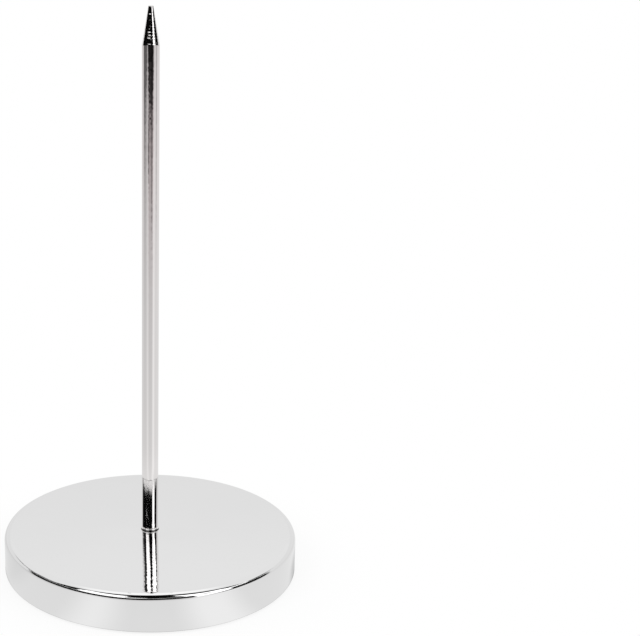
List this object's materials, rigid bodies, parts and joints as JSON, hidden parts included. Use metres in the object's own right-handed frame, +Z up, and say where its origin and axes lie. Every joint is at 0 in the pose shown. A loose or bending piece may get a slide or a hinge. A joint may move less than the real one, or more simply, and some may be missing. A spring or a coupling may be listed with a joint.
{
  "type": "bill spike",
  "caption": "Desk spike that holds paid bills: a blunt chrome rod screwed upright on a weighted round chrome base with a foam pad.",
  "frame": {"origin": "on the desk, under the centre of the base", "axes": "+Z up along the spike; the part is round about it, and -Y is the side that the picture shows"},
  "size_m": [0.0788, 0.0788, 0.1494],
  "materials": {
    "spike_chrome": "bright chrome over a drawn rod, fine lines along its length",
    "base_chrome": "mirror-polished chrome plate",
    "cast_iron": "as cast, dull",
    "zinc_steel": "bright zinc plate",
    "foam": "matte black closed-cell foam"
  },
  "bodies": {
    "base": {"base_cover": "base_chrome", "ballast_slug": "cast_iron", "fixing_screw": "zinc_steel", "spring_washer": "zinc_steel", "flat_washer": "zinc_steel", "base_pad": "foam"},
    "ring": {"foot_ring": "spike_chrome"},
    "spike": {"spike_rod": "spike_chrome"}
  },
  "joints": [
    {"name": "ring_lift", "type": "slide", "parent": "base", "child": "ring", "axis": [0, 0, 1], "range_m": [0, 0.0045]},
    {"name": "spike_turn", "type": "hinge", "parent": "ring", "child": "spike", "pos_m": [0, 0, 0.0114], "axis": [0, 0, 1], "range_deg": [0, 3241]}
  ],
  "couplings": [
    {"joint": "spike_turn", "follows": "ring_lift", "rad_per_m": 12566}
  ]
}
